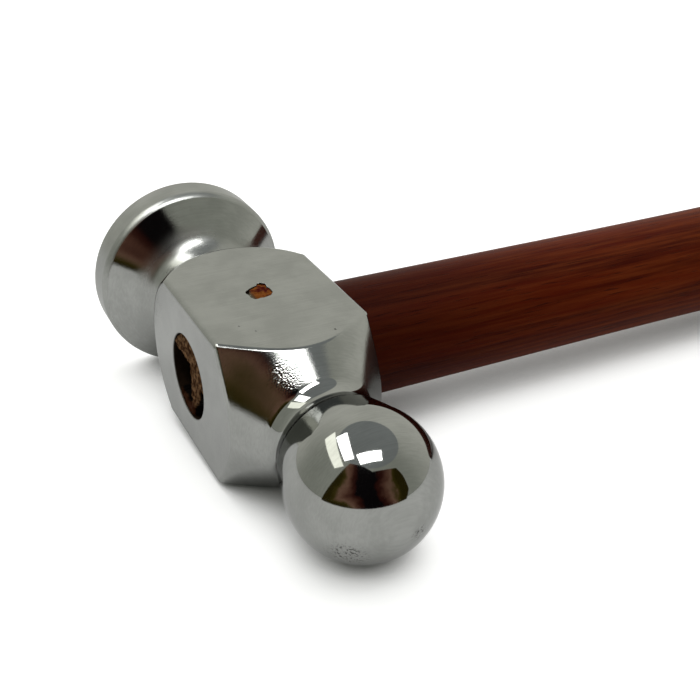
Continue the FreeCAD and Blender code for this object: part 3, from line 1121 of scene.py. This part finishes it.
def only_reflected(piece):
    """Keeps a card out of sight; the metal alone shows it."""
    for rays in ("camera", "diffuse", "shadow", "volume_scatter"):
        setattr(piece, "visible_" + rays, False)
    piece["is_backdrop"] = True


def add_floor():
    """Pale floor, lifted where it lies open so that it looks white; the shadow stays."""
    nodes = Nodes(bpy.data.materials.new("floor"))
    rays = nodes.add("LightPath").outputs
    seen = nodes.math("MAXIMUM", rays["Is Camera Ray"], rays["Is Glossy Ray"])
    seen = nodes.math("MAXIMUM", seen, rays["Is Transmission Ray"])
    sky = nodes.add("AmbientOcclusion", {"Distance": open_reach}).outputs["AO"]
    lift = nodes.times(seen, nodes.step(sky, *open_share, floor_lift))
    material = nodes.shade(
        Base_Color=floor_tone,
        Roughness=1.0,
        Specular_IOR_Level=0.0,
        Emission_Color=plain_white,
        Emission_Strength=lift,
    )
    r = floor_reach
    corners = [(-r, -r, 0), (r, -r, 0), (r, r, 0), (-r, r, 0)]
    new_piece("floor", corners, [(0, 1, 2, 3)], material)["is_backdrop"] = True


def add_walls():
    """Pale walls, lighter on one side; the camera itself sees plain white behind the floor."""
    world = bpy.data.worlds.new("walls")
    bpy.context.scene.world = world
    nodes = Nodes(world)
    lit_way = (math.sin(wall_azimuth), math.cos(wall_azimuth), 0)
    facing = nodes.vector("DOT_PRODUCT", nodes.add("TexCoord").outputs["Generated"], lit_way)
    tone = nodes.mix(nodes.step(facing, *wall_spread), wall_shaded, wall_lit)
    rays = nodes.add("LightPath").outputs
    nodes.fill(nodes.tree.nodes["Background"], {
        "Color": nodes.mix(rays["Is Camera Ray"], tone, plain_white),
        "Strength": nodes.math("MULTIPLY_ADD", rays["Is Diffuse Ray"], wall_light - 1, 1),
    })


def overhead(centre, east, north):
    """Point of the ceiling; east and north are shares of its height, from the ball."""
    return centre + Vector((east, north, 1)) * ceiling_height


def add_light(centre, name, spot, size, turn, radiance, tone, soft):
    """Light under the ceiling. The metal mirrors the hard ones; the soft one lights the rest."""
    light = bpy.data.lights.new(name, "AREA")
    light.shape = "RECTANGLE"
    light.size = size[0] * ceiling_height
    light.size_y = size[1] * ceiling_height
    light.energy = radiance * math.pi * light.size * light.size_y
    light.color = tone
    lamp = new_object(name, light)
    lamp.location = overhead(centre, *spot)
    lamp.rotation_euler = (0, 0, math.radians(turn))
    lamp.visible_diffuse = soft
    lamp.visible_glossy = not soft


def add_ceiling(centre):
    """Round patch of darker ceiling above the lights."""
    points = []
    for k in range(ceiling_steps):
        spot = Vector(ceiling_spot) + heading(math.tau * k / ceiling_steps) * ceiling_reach
        points.append(overhead(centre, *spot) + Vector((0, 0, light_drop)))
    material = Nodes(bpy.data.materials.new("ceiling")).glow(ceiling_tone)
    only_reflected(new_piece("ceiling", points, [tuple(range(ceiling_steps))], material))


def towards(centre, azimuth, elevation):
    """Point of the screen, with the azimuth in degrees from +Y towards +X."""
    az, el = math.radians(azimuth), math.radians(elevation)
    flat = math.cos(el)
    way = Vector((math.sin(az) * flat, math.cos(az) * flat, math.sin(el)))
    return centre + way * screen_distance


def screen_material():
    """Black and dark red in the middle, brown to olive at the edge, in blotches."""
    nodes = Nodes(bpy.data.materials.new("screen"))
    blotches = nodes.noise_at(nodes.add("TexCoord").outputs["Object"], screen_scale, Detail=4)
    share = nodes.math("MULTIPLY_ADD", blotches, screen_blotches, nodes.mark("edge"))
    ramp = nodes.add("ValToRGB", {"Fac": share})
    stops = ramp.color_ramp.elements
    for stop, (position, tone) in zip(stops, (screen_stops[0], screen_stops[-1])):
        stop.position, stop.color = position, (*tone, 1.0)
    for position, tone in screen_stops[1:-1]:
        stops.new(position).color = (*tone, 1.0)
    return nodes.glow(ramp.outputs["Color"])


def add_dark_card(centre):
    """Dark card around the camera, such as a photographer's black screen, bent about the ball."""
    skin = Skin("edge")
    middle = towards(centre, *screen_middle)
    tip = skin.add(middle)
    rows = []
    for ring in range(1, screen_rings + 1):
        row = []
        for azimuth, elevation, share in screen_outline:
            rim = towards(centre, azimuth, elevation)
            spoke = (middle.lerp(rim, ring / screen_rings) - centre).normalized()
            spot = centre + spoke * screen_distance
            row.append(skin.add(spot, edge=share * ring / screen_rings))
        rows.append(row)
    skin.fan(tip, rows[0])
    skin.bridge_all(rows)
    card = new_piece("screen", skin.points, skin.faces, screen_material())
    add_mark(card, "edge", skin.marks["edge"])
    only_reflected(card)


def add_camera():
    data = bpy.data.cameras.new("camera")
    data.lens = camera_lens
    data.sensor_width = 36
    data.clip_start = 0.005
    camera = new_object("camera", data)
    place = Matrix.Translation(camera_place)
    for degrees, axis in ((camera_yaw, "Z"), (90 + camera_pitch, "X"), (camera_roll, "Z")):
        place = place @ Matrix.Rotation(math.radians(degrees), 4, axis)
    camera.matrix_world = place
    bpy.context.scene.camera = camera


def main():
    pieces = [
        (make_head(chrome()), "head", "chromed_steel"),
        (make_handle(varnished_wood()), "handle", "varnished_wood"),
        (make_wedge(dark_steel()), "eye_wedge", "dark_steel"),
        (make_pin(rusted_steel()), "cross_pin", "rusted_steel"),
    ]
    for piece, node, slot in pieces:
        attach(piece, "root")
        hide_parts(node)

    bpy.context.scene.view_settings.view_transform = "Standard"
    ball = working @ Vector((0, -ball_place, 0))
    add_floor()
    add_walls()
    add_ceiling(ball)
    add_dark_card(ball)
    for light in lights:
        add_light(ball, *light)
    add_camera()


main()
boxes = {"cad": cad_box, "visual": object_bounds()}
{name: [list(corner) for corner in box] for name, box in boxes.items()}
